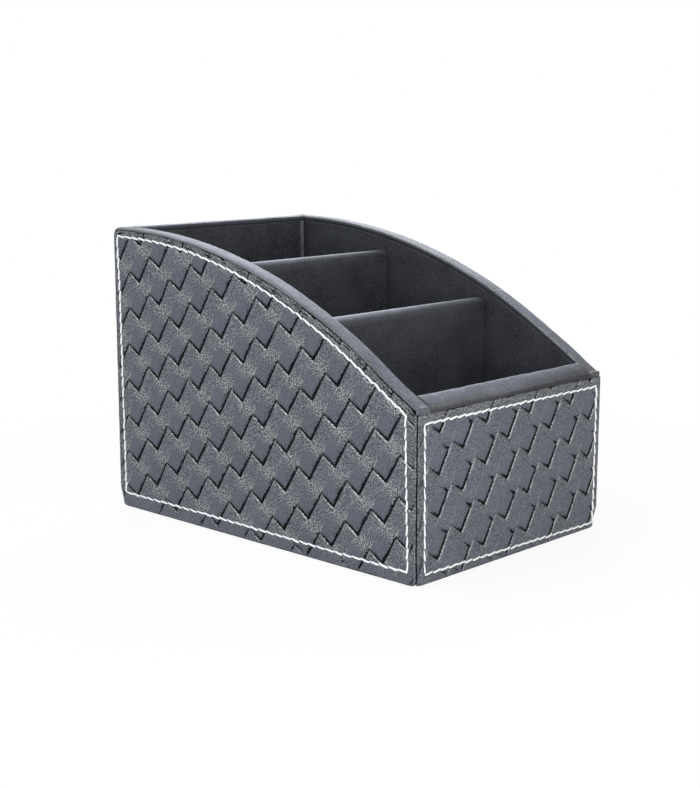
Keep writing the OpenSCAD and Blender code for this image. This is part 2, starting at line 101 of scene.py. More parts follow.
def smooth(x, lo, hi):
    """0 below lo, 1 above hi, and 3t^2 - 2t^3 in between."""
    t = np.clip((np.asarray(x, float) - lo) / (hi - lo), 0, 1)
    return t * t * (3 - 2 * t)


def bell(x, width):
    """Bell curve: 1 where x is 0, falling to 0.37 at a width from there."""
    return np.exp(-(x / width) ** 2)


def ripple(a, b, wave, seed):
    """Soft hand-made unevenness from -1 to 1: a sum of five sine waves of about the given length, in set directions."""
    total = 0
    for k in range(5):
        turn = 2.399 * (k + 1) + seed
        length = wave * (0.75 + 0.17 * k)
        total = total + np.sin((a * math.cos(turn) + b * math.sin(turn)) * 2 * math.pi / length + 1.7 * k + 3.1 * seed)
    return total / 5


# ---- meshes
def in_scene(name, data):
    """A new object with its data, put in the scene."""
    thing = bpy.data.objects.new(name, data)
    bpy.context.scene.collection.objects.link(thing)
    return thing


def piece(name, points, faces, finish, nodes=(), marks=None):
    """A closed surface from a grid or a list of points in millimetres and faces by number, riding on the one body,
    with its finish and with marks, which are values at the points that the finish reads."""
    mesh = bpy.data.meshes.new(name)
    mesh.from_pydata((points.reshape(-1, 3) * MM).tolist(), [], faces)
    mesh.polygons.foreach_set("use_smooth", np.ones(len(mesh.polygons), bool))
    for key, values in (marks or {}).items():
        layer = mesh.attributes.new(key, "FLOAT", "POINT")
        layer.data.foreach_set("value", np.broadcast_to(values, points.shape[:-1]).astype(np.float32).ravel())
    mesh.materials.append(finish)
    mesh.update()
    thing = in_scene(name, mesh)
    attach(thing, "root")
    if nodes:
        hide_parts(*nodes)
    return thing


def quads(rows, cols, closed=False):
    """Faces of a grid of points numbered row by row, each row closed to a ring if asked."""
    r, c = np.meshgrid(np.arange(rows - 1), np.arange(cols if closed else cols - 1), indexing="ij")
    c1 = (c + 1) % cols
    return np.stack([r * cols + c, r * cols + c1, (r + 1) * cols + c1, (r + 1) * cols + c], -1).reshape(-1, 4)


def sheet(rows, cols):
    """Faces of a grid of points, closed at the back by one face round its outermost points."""
    g = np.arange(rows * cols).reshape(rows, cols)
    edge = np.concatenate([g[0, :-1], g[:-1, -1], g[-1, :0:-1], g[:0:-1, 0]])
    return quads(rows, cols).tolist() + [edge[::-1].tolist()]


def tube(rows, cols, start=0, flip=False):
    """Faces of rings of points one behind the other, numbered from start, with a face at either end. They are turned
    round where the rings run the other way."""
    parts = [quads(rows, cols, True), np.arange(cols)[None, ::-1], (rows - 1) * cols + np.arange(cols)[None]]
    return [face for part in parts for face in (start + (part[:, ::-1] if flip else part)).tolist()]


def level(height):
    """An edge of the same height all along."""
    return lambda along: np.full(np.shape(along), height)


def facing(x, y, distance):
    """Puts points on a wall that looks along (x, y) at a distance from the middle: along it, up it and out of it."""
    return lambda a, up, out: np.stack([x * (distance + out) - y * a, y * (distance + out) + x * a, up], -1)


# ---- the weave
def warped(u, v):
    """Panel place moved a little back and forth, so that creases aren't dead straight."""
    return u + 0.22 * ripple(u, v, 12, 1.0), v + 0.22 * ripple(u, v, 12, 2.0)


def cells(u, v, start, steps):
    """Place in the slanted grid of the weave: how many steep and how many falling creases along from the start."""
    (ax, ay), (bx, by) = steps
    det = ax * by - ay * bx
    u, v = warped(u, v)
    du, dv = u - start[0], v - start[1]
    return (du * by - dv * bx) / det, (ax * dv - ay * du) / det


def weave(u, v, start, steps, notches=0.0):
    """Relief of the plaited pattern on a panel.

    The plane is cut in slanted cells along the two crease steps. The creases join to zigzags: up each steep crease to
    a peak, then down a falling one to a notch. On its lower right a zigzag has the crisp raised edge of the strand
    on top. On its upper left the strand dips gently under it. Height is 1 less a dip for either side, each a falling
    function of the distance to the nearest crease of that side. Returns height, the distances on either side with
    their shares of depth, how far the nearest crease of either side is a falling one, the place up the cell, the
    distance to where a strand runs on without a falling crease, a mark for the strand's edge above each peak, and one
    for the cells in which a strand dips.
    """
    (ax, ay), (bx, by) = steps
    s, t = cells(u, v, start, steps)
    k, m = np.floor(s), np.floor(t)
    over, under = np.full(u.shape, FAR), np.full(u.shape, FAR)
    over_depth, under_depth, over_fall, under_fall, above = (np.zeros(u.shape) for _ in range(5))
    bare = np.full(u.shape, FAR)
    for steep in (True, False):
        for line in (0, 1):
            for cell in (-1, 0, 1):
                if steep:
                    kk, mm = k + cell, m + line
                    along, across = s - kk, t - mm
                    real = (kk + mm) % 2 == 0
                    near = peak = np.clip(along, 0, 1)
                    dip_side = np.where(along > 1, True, np.where(along < 0, False, across < 0))
                    off = ((s - kk - near) * ax + across * bx, (s - kk - near) * ay + across * by)
                    depth = 1 - 0.42 * peak - 0.3 * notches * smooth(peak, 0.7, 0.85)
                else:
                    kk, mm = k + line, m + cell
                    along, across = t - mm, s - kk
                    real = (kk + mm) % 2 != 0
                    near = np.clip(along, 0, 1)
                    peak = 1 - near
                    dip_side = np.where(along < 0, True, np.where(along > 1, False, across > 0))
                    off = (across * ax + (t - mm - near) * bx, across * ay + (t - mm - near) * by)
                    depth = 1 - (0.5 + 0.25 * notches) * peak
                span = np.hypot(*off)
                gap = np.where(real, span, FAR)
                if steep:
                    edge = bell(span - 0.35, 0.35) * np.clip(1 - along / 0.4, 0, 1)
                    above = np.maximum(above, np.where(~real & (across < 0) & (along > 0), edge, 0))
                else:
                    bare = np.minimum(bare, np.where(real, FAR, span))
                is_over = dip_side & (gap < over)
                is_under = ~dip_side & (gap < under)
                over = np.where(is_over, gap, over)
                over_depth = np.where(is_over, depth, over_depth)
                over_fall = np.where(is_over, not steep, over_fall)
                under = np.where(is_under, gap, under)
                under_depth = np.where(is_under, depth, under_depth)
                under_fall = np.where(is_under, not steep, under_fall)
    if notches:
        # A short crease leaves each steep one to the left at three quarters of its height and fades out
        for line in (0, 1):
            mm = m + line
            across = s - k - 0.77
            along = np.clip(mm - t, 0, 0.66)
            gap = np.hypot(across * ax + (t - mm + along) * bx, across * ay + (t - mm + along) * by)
            near = ((k + mm) % 2 == 0) & (t <= mm + 0.02) & (gap < over) & (gap < 2.2)
            over = np.where(near, gap, over)
            over_depth = np.where(near, notches * (0.8 - 0.55 * along / 0.66), over_depth)
            over_fall = np.where(near, 1, over_fall)
    from_crease = (t - m) * abs(ax * by - ay * bx) / math.hypot(ax, ay)
    dip_cell = np.where((k + m) % 2 != 0, smooth(from_crease, -0.1, 0.7), 0)
    dip = over_depth * (0.68 * bell(over, 1.0) + 0.32 * np.exp(-(over / 3.4) ** 1.6))
    lip = under_depth * bell(under, 0.4) - 0.07 * bell(under - 1.0, 0.5)
    return 1 - dip - lip, over, under, over_depth, under_depth, over_fall, under_fall, s - k, bare, above, dip_cell


def onto_creases(u, v, start, steps, du, dv):
    """Moves the points next to a crease onto it, along the panel for steep ones and upwards for falling ones."""
    (ax, ay), (bx, by) = steps
    det = ax * by - ay * bx
    for _ in range(3):
        s, t = cells(u, v, start, steps)
        line = np.round(t)
        shift = (line - t) * det / -ay
        u = u + np.where(((np.floor(s) + line) % 2 == 0) & (np.abs(shift) <= 0.5 * du), shift, 0)
        s, t = cells(u, v, start, steps)
        line = np.round(s)
        shift = (line - s) * det / -bx
        v = v + np.where(((line + np.floor(t)) % 2 != 0) & (np.abs(shift) <= 0.5 * dv), shift, 0)
    return u, v


# ---- the panels
left_face, right_face = facing(-1, 0, HALF_W), facing(1, 0, HALF_W)
front_face, back_face = facing(0, -1, HALF_D), facing(0, 1, HALF_D)


# Stitch border of a panel: where its two upright rows run at each height, and how high its foot and head rows run
def side_border(sign):
    """Border of a side: upright rows near either end, a foot row that wanders a little, and a head row that follows
    the side top, a little nearer to it at the back."""
    def front_end(v):
        return -86.0 + 0.028 * v

    def back_end(v):
        return 85.9 + 0.011 * v + 0.7 * smooth(v, 100, 122)

    def foot(u):
        return 6.2 + 0.6 * np.sin((sign * u + 15) * math.pi / 150)

    def head(u):
        y = sign * u
        return side_top(y, 5.7) + 1.6 * smooth(y, -60, 60)

    if sign > 0:
        return front_end, back_end, foot, head
    return lambda v: -back_end(v), lambda v: -front_end(v), foot, head


def end_border(lo, hi, foot_slope, foot_z, head_z):
    """Border of the front or the back: four rows, the foot one a little aslant."""
    def left_end(v):
        return lo - 0.012 * v

    def right_end(v):
        return hi + 0 * v

    def foot(u):
        return foot_z + foot_slope * (u - lo)

    def head(u):
        return head_z - 0.005 * (u - lo)

    return left_end, right_end, foot, head


def inside_border(border, u, v):
    """How far inside its stitch border a point of a panel lies: the least distance to the four rows."""
    lo, hi, foot, head = border
    slope = (head(u + 0.5) - head(u - 0.5))
    below_head = (head(u) - v) / np.sqrt(1 + slope ** 2)
    return np.minimum(np.minimum(u - lo(v), hi(v) - u), np.minimum(v - foot(u), below_head))


EDGE_R, FOOT_R, CORNER_R = 0.5, 1.5, 5.0
FOOT_Z = 0.1
# Rows of a skin that are its hem and the bulge under it
FOLD_ROWS = 8


def edge_profile():
    """Upright edge of a skin: distance in from the panel's corner, and depth from its face. An arc from the face round
    to 135 degrees, where it meets the mitre with the next skin, and then along the mitre to the boards."""
    across = EDGE_R * (1 + math.sqrt(2)) + 0.04
    arc_points = [
        (-across + EDGE_R * math.sin(a), -EDGE_R + EDGE_R * math.cos(a))
        for a in np.radians([0, 15, 32, 50, 70, 90, 112, 135])
    ]
    return np.array(arc_points + [(-1.3, -1.26), (-SKIN_T - PUFF - 0.04, -SKIN_T - PUFF)])


def foot_profile():
    """Foot of a skin, from inside its hem outwards: distance out from the wall's face, and height. The hem's upper
    side, its fold, its flat underside, a soft bulge down, and a quarter circle up to the skin's face."""
    hem = [(-SKIN_T, HEM_Z + 0.8), (-5.7, HEM_Z + 0.8), (-6.0, HEM_Z + 0.65), (-6.0, HEM_Z + 0.15), (-5.7, HEM_Z)]
    bulge = [(-2.8, HEM_Z), (-2.3, HEM_Z - 0.2), (-1.6, HEM_Z - 0.62), (PUFF - FOOT_R, FOOT_Z)]
    arc_points = [
        (PUFF - FOOT_R + FOOT_R * math.sin(a), FOOT_Z + FOOT_R - FOOT_R * math.cos(a))
        for a in np.radians(np.linspace(10, 82, 8))
    ]
    return np.array(hem + bulge + arc_points)


def skin(name, place, half, top, start, steps, border, spacing, node, notches=0.0):
    """Outer skin of one wall as a closed sheet.

    The grid runs along the panel and up it. Along, it covers the face and both folded edges. Up, it covers the hem,
    the round foot, the face up to the curve top(u), and the folded head. Each point stands off the face by the weave,
    fading to a pressed border outside the stitches, and sinks in the channel under them.
    """
    edge = edge_profile()
    out = half + PUFF
    flat = out + edge[0, 0]
    count = int(round(2 * flat / spacing[0]))
    u_cols = np.concatenate([-(out + edge[::-1, 0]), np.linspace(-flat, flat, count + 1)[1:-1], out + edge[:, 0]])
    n_cols = np.concatenate([edge[::-1, 1], np.zeros(count - 1), edge[:, 1]])
    feet = foot_profile()
    z0 = FOOT_Z + FOOT_R
    top_u = top(np.clip(u_cols, -half, half))
    rise = np.linspace(0, 1, int(round((float(np.max(top_u)) - z0) / spacing[1])) + 1)
    head = [(0.3, -0.02), (0.14, -0.09), (0.04, -0.24), (0.0, -0.45), (0.0, -SKIN_T - PUFF)]
    rows_n = np.concatenate([feet[:, 0] - PUFF, np.zeros(len(rise)), [p[1] for p in head]])
    rows, cols = len(rows_n), len(u_cols)
    u = np.broadcast_to(u_cols, (rows, cols)).copy()
    v = np.zeros((rows, cols))
    lowest, highest = len(feet), len(feet) + len(rise)
    v[:lowest] = feet[:, 1][:, None]
    v[lowest:highest] = z0 + rise[:, None] * (top_u[None, :] - 0.55 - z0)
    for i, (down, _) in enumerate(head):
        v[highest + i] = top_u - down
    face = (rows_n > -0.01)[:, None] & (n_cols > -0.01)[None, :]
    face[:lowest + 1] = False
    face[highest - 1:] = False
    dv = float(np.max(top_u) - z0) / len(rise)
    su, sv = onto_creases(u, v, start, steps, spacing[0], dv)
    u, v = np.where(face, su, u), np.where(face, sv, v)
    # How far inside the stitches a point lies
    inside = inside_border(border, u, v)
    raised, over, under, over_depth, under_depth, over_fall, under_fall, rise_in_cell, bare, above, dip_cell = weave(
        u, v, start, steps, notches)
    share = 0.5 + 0.5 * smooth(inside, -0.8, 1.6) + 0.25 * smooth(-inside, 0.2, 1.2) * smooth(v, 12, 7)
    edge_fade_v = smooth(v, FOOT_Z + 0.3, FOOT_Z + 2.6)
    edge_fade = smooth(out - np.abs(u), 0.6, 2.6) * edge_fade_v
    share = share * edge_fade
    channel = bell(inside, 0.8) * edge_fade
    stand = -WEAVE_DEPTH * share * (1 - raised) - 0.45 * channel
    below = (top_u - v) / np.sqrt(1 + np.gradient(top_u, u_cols) ** 2)
    wrinkle = np.zeros((rows, cols))
    for depth_at, wave, seed in ((1.6, 9.0, 1.0), (2.7, 14.0, 2.0), (0.8, 6.0, 3.0)):
        line = depth_at + 0.3 * ripple(u, 0, 17, seed)
        here = smooth(ripple(u, 0, wave, seed + half), 0.0, 0.35)
        wrinkle = np.maximum(wrinkle, bell(below - line, 0.34) * here)
    wrinkle = wrinkle * edge_fade * (out - np.abs(u) > 1.2)
    stand = stand - 0.3 * wrinkle
    stand = stand + 0.12 * ripple(u, v, 34, half * 0.1) * edge_fade
    rows_v = v[:, cols // 2]
    normal_n, normal_v = np.gradient(rows_v), -np.gradient(rows_n)
    size = np.hypot(normal_n, normal_v) + 1e-9
    normal_n, normal_v = normal_n / size, normal_v / size
    normal_n[lowest:highest], normal_v[lowest:highest] = 1, 0
    above_fold = np.arange(rows) >= FOLD_ROWS
    near_face = (rows_n > -3.0) & above_fold
    depth = n_cols[None, :] + np.where(near_face[:, None], stand, 0)
    depth = np.where(near_face[:, None], depth, n_cols[None, :] * above_fold[:, None])
    n = PUFF + rows_n[:, None] + depth * normal_n[:, None]
    v_out = v + depth * normal_v[:, None] * near_face[:, None]
    n[-1] = -SKIN_T
    # Low down the upright corners grow round in plan: each skin bends along an eighth of a circle up to the mitre.
    # The hem inside is mitred instead
    from_edge = out - np.abs(u)
    bend_share = np.ones(rows)
    bend_share[:FOLD_ROWS] = [0, 0, 0, 0, 0, 0, 0.65, 0.85]
    bent = (bend_share > 0)[:, None]
    sunk_edge = np.minimum(-n_cols[None, :], from_edge)
    round_r = CORNER_R * bend_share[:, None] * (1 - smooth(v, 1.0, 14.0)) + 1e-3
    within = (from_edge < round_r) & (sunk_edge < round_r) & bent
    turn = math.pi / 4 * np.clip(1 - (from_edge - sunk_edge) / np.maximum(round_r - sunk_edge, 1e-3), 0, 1) * within
    sunk = n - PUFF
    u_shift = np.where(within, (round_r + sunk) * np.sin(turn) - (round_r - from_edge), 0)
    n = np.where(within, PUFF - round_r + (round_r + sunk) * np.cos(turn), n)
    u_out = (u + np.sign(u) * u_shift) * (1 - np.where(bent, 0, -rows_n[:, None]) / out)
    # No skin crosses the mitre, and the seam wanders a little
    u_out = np.sign(u_out) * np.where(bent, np.minimum(np.abs(u_out), half + n - 0.04), np.abs(u_out))
    wander = 0.2 * ripple(v, 0, 11, half) + 0.5 * smooth(v, 12, 2)
    wander = wander * bell(from_edge, 1.6) * bent * edge_fade_v
    points = place(u_out + wander * np.sign(u) * (1 if half == HALF_D else -1), v_out, n)
    # Painted shade along the creases, wider on the side where the strand dips, and in the mitre seam
    width = (1.15 - 0.3 * over_fall) * (1.0 + 0.3 * ripple(u, v, 5, 3.0))
    dark = np.maximum(over_depth * bell(over, width), under_depth * bell(under, 0.35))
    dark = np.minimum(1.25 * dark, 1) * (0.35 + 0.65 * share)
    seam = np.broadcast_to(smooth(-n_cols, 0.15, 0.6)[None, :], (rows, cols))
    # Painted shade along the head edge of the skin, under the rim, broken here and there
    head_edge_shade = np.zeros((rows, cols))
    head_edge_shade[-2:] = 0.8
    for back, share_of in ((3, 0.7), (4, 0.6), (5, 0.4)):
        head_edge_shade[-back] = share_of * smooth(ripple(u_cols, 0, 8 + back, half), -0.25, 0.25)
    # Strands on top are rubbed at their heads, and strands that dip stay smooth down to their feet
    place_up = rise_in_cell + 0.12 * ripple(u, v, 6, 5.0)
    head = under_fall * bell(under, 2.6) * share
    worn = np.exp(-(bare / (3.1 + 1.0 * ripple(u, v, 7, 6.0))) ** 2) * (1 - 0.6 * head) * (1 - 0.7 * notches)
    smooth_foot = dip_cell * (1 - smooth(place_up, 0.4, 0.9))
    tooth = np.maximum(smooth_foot, 0.55 * notches * (1 - head)) * smooth(inside, -1, 1)
    shade = over_depth * bell(over, 2.2) * share
    # Painted highlight on the raised lip beside a crease: along falling creases on the sides, more along steep ones at
    # the ends
    fall_share, steep_share = (0.15, 0.6) if notches else (1.0, 0.1)
    lip_highlight = under_fall * fall_share * smooth(under_depth, 0.5, 0.8) + (1 - under_fall) * steep_share * (under_depth > 0.3)
    lip_highlight = lip_highlight * smooth(ripple(u, v, 9, 8.0), -0.7, 0.1) * share
    # Outside the stitches only the head of a panel is frayed. The foot stays smooth, with painted shade underneath
    foot_band = (1 - smooth(inside, -1.0, 0.2)) * smooth(v, 12, 7)
    tooth = np.maximum(tooth, 0.55 * foot_band)
    worn = worn * (1 - 0.7 * foot_band)
    # Painted shade under the foot
    shade_under_foot = 0.75 * smooth(v + 0.3 * ripple(u, 0, 9, 4.0), 1.3, 0.4)
    # Painted shade in the wrinkles just under the head edge
    wrinkle = wrinkle * (0.85 - 0.3 * notches)
    # The crease mark is painted shade: creases, seam, under the foot, head edge and wrinkles
    marks = {
        "crease": np.maximum.reduce([dark, seam, shade_under_foot, head_edge_shade, wrinkle]),
        "worn": worn, "tooth": tooth, "shade": shade, "lip_highlight": lip_highlight, "edge_mm": np.minimum(under, 3),
        "pressed": (1 - smooth(inside, -1.0, 0.2)) * (1 - 0.8 * smooth(v, 12, 7)),
        "head": head * (0.35 + 0.65 * notches), "lit": (0.55 - 0.3 * notches) * above * share,
        "frayed": smooth(below, 3.2, 0.4) * (below > 0),
    }
    return piece(name, points, sheet(rows, cols), SKIN, [node], marks)


def skin_top(y, sign):
    """Upper edge of a side skin: just under the rim's outer edge, and lower at both ends, where the rim is folded
    down."""
    end_drop = (RIM_H + GLUE - SKIN_DROP) * smooth(np.abs(y), 86.0, 89.5)
    return side_top(y, SKIN_DROP) - np.minimum(sag(y, sign), 0.9) - end_drop


# ---- stitches
def stitching(name, place, rows, node):
    """A group of stitches: each is a short thread of two twisted strands that rises from one hole in the channel and
    goes back down at the next. Its radius is that of two strands side by side, turning once and a half on the way."""
    around, along = 8, 7
    turn = np.linspace(0, 2 * math.pi, around, endpoint=False)
    step = np.linspace(0, 1, along)
    points, faces = [], []
    for count, (p, q, lean) in enumerate(rows):
        wander = math.sin(count * 2.4) + math.sin(count * 1.31 + 1)
        lean = lean * (1 + 0.22 * wander)
        mid = (p + q) / 2
        way = (q - p) / np.linalg.norm(q - p)
        cos, sin = math.cos(lean), math.sin(lean)
        way = np.array([way[0] * cos - way[1] * sin, way[0] * sin + way[1] * cos])
        side = np.array([-way[1], way[0]])
        length = np.linalg.norm(q - p) - (PITCH - STITCH_LEN)
        reach = (step - 0.5) * length
        swell = 0.8 + 0.2 * np.sqrt(np.clip(1 - (2 * step - 1) ** 4, 0, 1))
        lift = PUFF - 0.46 - 0.2 * (2 * step - 1) ** 8
        strand = 1 + 0.10 * np.cos(2 * (turn[None, :] - 3 * math.pi * step[:, None]))
        r = THREAD_R * swell[:, None] * strand
        bow = 0.16 * (1 - (2 * step - 1) ** 2)[:, None] + 0.05 * wander
        a = mid[0] + way[0] * reach[:, None] + side[0] * (bow + r * np.cos(turn)[None, :])
        b = mid[1] + way[1] * reach[:, None] + side[1] * (bow + r * np.cos(turn)[None, :])
        c = lift[:, None] + r * np.sin(turn)[None, :]
        points.append(place(a, b, c).reshape(-1, 3))
        faces += tube(along, around, count * along * around)
    return piece(name, np.concatenate(points), faces, THREAD, [node])


def corner(end, row):
    """Where an upright row of a border meets its foot or head row, found by going to and fro between the two."""
    u, v = 0.0, 0.0
    for _ in range(12):
        u = float(end(v))
        v = float(row(u))
    return u, v


def border_rows(border, lean):
    """Stitches round a border, one behind the other: each row is cut in equal lengths close to the pitch."""
    lo, hi, foot, head = border
    a, b, c, d = corner(lo, foot), corner(lo, head), corner(hi, head), corner(hi, foot)
    left, right = np.linspace(a[1], b[1], 90), np.linspace(c[1], d[1], 90)
    top_u, foot_u = np.linspace(b[0], c[0], 240), np.linspace(d[0], a[0], 240)
    sides = [
        np.stack([lo(left), left], 1), np.stack([top_u, head(top_u)], 1),
        np.stack([hi(right), right], 1), np.stack([foot_u, foot(foot_u)], 1),
    ]
    rows = []
    for side in sides:
        length = np.concatenate([[0], np.cumsum(np.linalg.norm(np.diff(side, axis=0), axis=1))])
        cut = np.linspace(0, length[-1], int(round(length[-1] / PITCH)) + 1)
        at = np.stack([np.interp(cut, length, side[:, 0]), np.interp(cut, length, side[:, 1])], 1)
        rows += [(at[i], at[i + 1], lean) for i in range(len(cut) - 1)]
    return rows


# ---- rims
def sag(y, sign):
    """How far the top of a side rim has sunk near its front end, where it was pulled down over the front wall."""
    if sign < 0:
        low = 0.4 * smooth(-y, 10, 35) + 0.75 * bell(y + 77, 8)
    else:
        low = 0.45 * smooth(-y, 30, 60) + 0.7 * smooth(-y, 74, 86)
    return low * smooth(y, -HALF_D - 0.4, -HALF_D + 1.2)


def side_path(steps, bend):
    """Way of a side rim in depth and height, with its normals: up from the front face, round a bend onto the slope,
    along the arch and the level, and round a bend down to the back face."""
    turn_up = np.linspace(0, math.pi / 2 - FALL, 9)
    # front bend: from straight up to along the slope
    hub_y = -HALF_D - RIM_OUT + bend
    hub_z = float(on_slope(hub_y, 0)) - bend / math.cos(FALL)
    front = [(hub_y - bend * math.cos(a), hub_z + bend * math.sin(a), -math.cos(a), math.sin(a)) for a in turn_up]
    low = front[0]
    foot_of_rim = SKIN_TOP_FRONT + GLUE
    front = [(low[0], foot_of_rim + (low[1] - foot_of_rim) * f, -1, 0) for f in (0.0, 0.33, 0.66)] + front
    foot_y = LEVEL_Y - ARCH_R * math.sin(FALL)
    ys = np.linspace(front[-1][0], foot_y, 36)[1:-1]
    slope = [(y, float(on_slope(y, 0)), -math.sin(FALL), math.cos(FALL)) for y in ys]
    arch = [
        (LEVEL_Y - ARCH_R * math.sin(a), ARCH_Z + ARCH_R * math.cos(a), -math.sin(a), math.cos(a))
        for a in FALL * (1 - np.linspace(0, 1, steps))
    ]
    end_y = HALF_D + RIM_OUT - bend
    flat_top = [(y, BACK_H, 0, 1) for y in np.linspace(LEVEL_Y, end_y, 4)[1:]]
    back = [
        (end_y + bend * math.sin(a), BACK_H - bend + bend * math.cos(a), math.sin(a), math.cos(a))
        for a in np.linspace(0, math.pi / 2, 9)[1:]
    ]
    return np.array(front + slope + arch + flat_top + back)


# Section of a side rim: distance out from its inner face, and depth under its top. It has a crisp inner edge, a flat
# top and a rounded outer edge, and its outer side is tucked in behind the skin
SIDE_SECTION = np.array([
    (0.0, RIM_H + 0.08), (0.0, 1.2), (0.0, 0.65), (0.05, 0.42), (0.17, 0.24), (0.36, 0.11), (0.65, 0.04), (1.5, 0.0),
    (2.6, 0.0), (3.7, 0.02), (4.7, 0.06), (5.6, 0.13), (6.3, 0.22), (6.85, 0.36), (7.2, 0.54), (7.4, 0.76), (7.42, 1.0),
    (7.25, 1.17), (6.8, 1.28), (5.45, 1.34), (5.4, 1.6), (5.4, RIM_H + 0.08),
])


def side_rim(name, sign, node):
    """Binding of a side wall: its section carried along the side tops, a little uneven as it was pulled over by hand.
    At both ends it is folded down over the wall."""
    way = side_path(100, 2.3 if sign < 0 else 1.7)
    across, down = SIDE_SECTION.T
    run = np.concatenate([[0], np.cumsum(np.hypot(np.diff(way[:, 0]), np.diff(way[:, 1])))])
    length, width = run[:, None], across[None, :]
    sunk = sag(way[:, 0:1], sign)
    puff = 0.14 * ripple(length, width * 3, 24, sign) + 0.07 * ripple(length, width * 2, 6, 2 * sign + 1)
    puff = puff * smooth(down[None, :], 1.2, 0.3) * smooth(sunk, 1.8, 0.5)
    lower = down[None, :] * (RIM_H - sunk * way[:, 3:4]) / RIM_H - puff
    x = HALF_W - WALL_T + width + 0.12 * ripple(length, 0 * width, 30, 5 + sign) * smooth(width, 0, 2)
    y = way[:, 0:1] - way[:, 2:3] * lower
    z = way[:, 1:2] - sunk - way[:, 3:4] * lower
    # The leather is bunched to a small lump where the back rim meets the right one
    lump = (sign > 0) * np.exp(-((y - 86.0) / 1.5) ** 2 - ((x - HALF_W + 5.4) / 1.7) ** 2)
    lump = lump * smooth(down[None, :], 0.6, 0.2)
    z = z + 0.6 * lump
    points = np.stack([sign * np.broadcast_to(x, y.shape), y, z], -1)
    # Painted shade towards the outer lower edge and at the front end, there most on the right, and on the lump. Browner
    # towards the outer edge and at the front end
    outer = smooth(width, 5.2, 7.3)
    front_end = smooth(length, 17, 6) * (1.0 if sign > 0 else 0.35)
    fold = 0.5 * smooth(down[None, :], 0.7, 1.15) * outer * (0.7 + 0.8 * ripple(length, 0 * width, 7, sign))
    fold = np.maximum(np.maximum(fold, 0.85 * front_end * (0.6 + 0.4 * outer)), lump)
    marks = {
        "fold": fold, "brown": np.maximum(outer * 0.8, front_end),
        "inner": smooth(down[None, :], 0.3, 0.7) * (width < 2.5),
        "pale": bell(width - 0.2, 0.4) * smooth(down[None, :], 0.9, 0.3) * (sign > 0),
    }
    return piece(name, points, tube(*z.shape, flip=sign < 0), RIM, [node], marks)


def end_rim(name, node, outline, side, half):
    """Binding of the front or the back wall: a closed outline in depth and height carried along the width, with the
    slight swells and hollows of leather that was pulled over a board by hand."""
    outline = np.array(outline, float)
    cols = len(outline)
    xs = np.linspace(-half, half, 150)
    out = np.roll(outline, -1, 0) - np.roll(outline, 1, 0)
    normal = np.stack([out[:, 1], -out[:, 0]], -1)
    normal /= np.linalg.norm(normal, axis=1)[:, None]
    centre = outline.mean(0)
    flip = np.sign(np.sum(normal * (outline - centre), 1).mean())
    normal *= flip
    girth = np.arange(cols) * 0.5
    puff = 0.16 * ripple(xs[:, None], girth[None, :] * 2.5, 20, side)
    puff = puff + 0.08 * ripple(xs[:, None], girth[None, :], 6, side + 2)
    ends = smooth(half - np.abs(xs), 0, 3)[:, None]
    puff = puff * ends
    y = outline[None, :, 0] + normal[None, :, 0] * puff
    z = outline[None, :, 1] + normal[None, :, 1] * puff
    points = np.stack([np.broadcast_to(xs[:, None], y.shape), y, z], -1)
    area = np.sum(outline[:, 0] * np.roll(outline[:, 1], -1) - np.roll(outline[:, 0], -1) * outline[:, 1])
    front_low = outline[:, 1].max() - outline[:, 1]
    low = (front_low / front_low.max())[None, :]
    outside = (np.abs(outline[:, 0]) > abs(centre[0]) - 1.5)[None, :]
    front = float(side == 1)
    rough = ripple(xs[:, None], 0 * girth[None, :], 5, side)
    # Painted shade on the outside towards the lower edge, darkest in a ragged band at the edge itself
    fold = (0.2 * front * smooth(low, 0.1, 0.5) + 0.75 * smooth(low + 0.06 * rough, 0.62, 0.85)) * outside
    # Painted shade, darker to the right along the front rim. The front rim looks darker to the right in the
    # photo. It is painted so here, though it may only be the light
    painted_shade_to_right = front * smooth(xs, -20, 52)[:, None] * (0.42 + 0.35 * smooth(low, 0.05, 0.5))
    # Painted shade at both ends of the front rim, where the side rims lap over it, and in the hollow at its right end
    shade_at_ends = front * smooth(np.abs(xs), half - 1.5, half - 0.7)[:, None]
    painted_end_shade = front * smooth(xs, 40, 51.5)[:, None] * (0.25 + 0.65 * smooth(low, 0.0, 0.4))
    brown = smooth(low, 0.3, 0.65) * outside * (0.75 + 0.25 * ripple(xs[:, None], 0 * girth[None, :], 13, side))
    facing_in = (np.abs(outline[:, 0]) < HALF_D - WALL_T + 0.5) * smooth(front_low, 0.3, 0.7)
    marks = {
        "fold": np.maximum(np.maximum(fold + painted_shade_to_right, painted_end_shade), shade_at_ends),
        "brown": brown, "inner": facing_in, "pale": 0,
    }
    return piece(name, points, tube(len(xs), cols, flip=area < 0), RIM, [node], marks)


def front_rim_outline():
    """Outline of the front rim in depth and height: up the front face, a puffy roll up the slope to the crest at the
    inner face, down that and back under it. Its corners are cut twice, which rounds them."""
    points = np.array([
        (-90.2, 66.9), (-90.6, 67.9), (-90.1, 69.2), (-88.5, 70.5), (-86.3, 71.9), (-84.4, 72.9), (-83.2, 73.15),
        (-82.7, 72.6), (-82.7, 70.6), (-84.0, 69.2),
    ])
    for _ in range(2):
        nxt = np.roll(points, -1, 0)
        points = np.stack([0.75 * points + 0.25 * nxt, 0.25 * points + 0.75 * nxt], 1).reshape(-1, 2)
    return points


def back_rim_outline():
    """Outline of the back rim in depth and height: the section of a side rim with its outer side rolled down."""
    outer = [(6.9, 0.33), (7.3, 0.65), (7.55, 1.1), (7.62, 1.6), (7.6, RIM_H + 0.08)]
    return [(HALF_D - WALL_T + a, BACK_H - d) for a, d in SIDE_SECTION[:13].tolist() + outer]


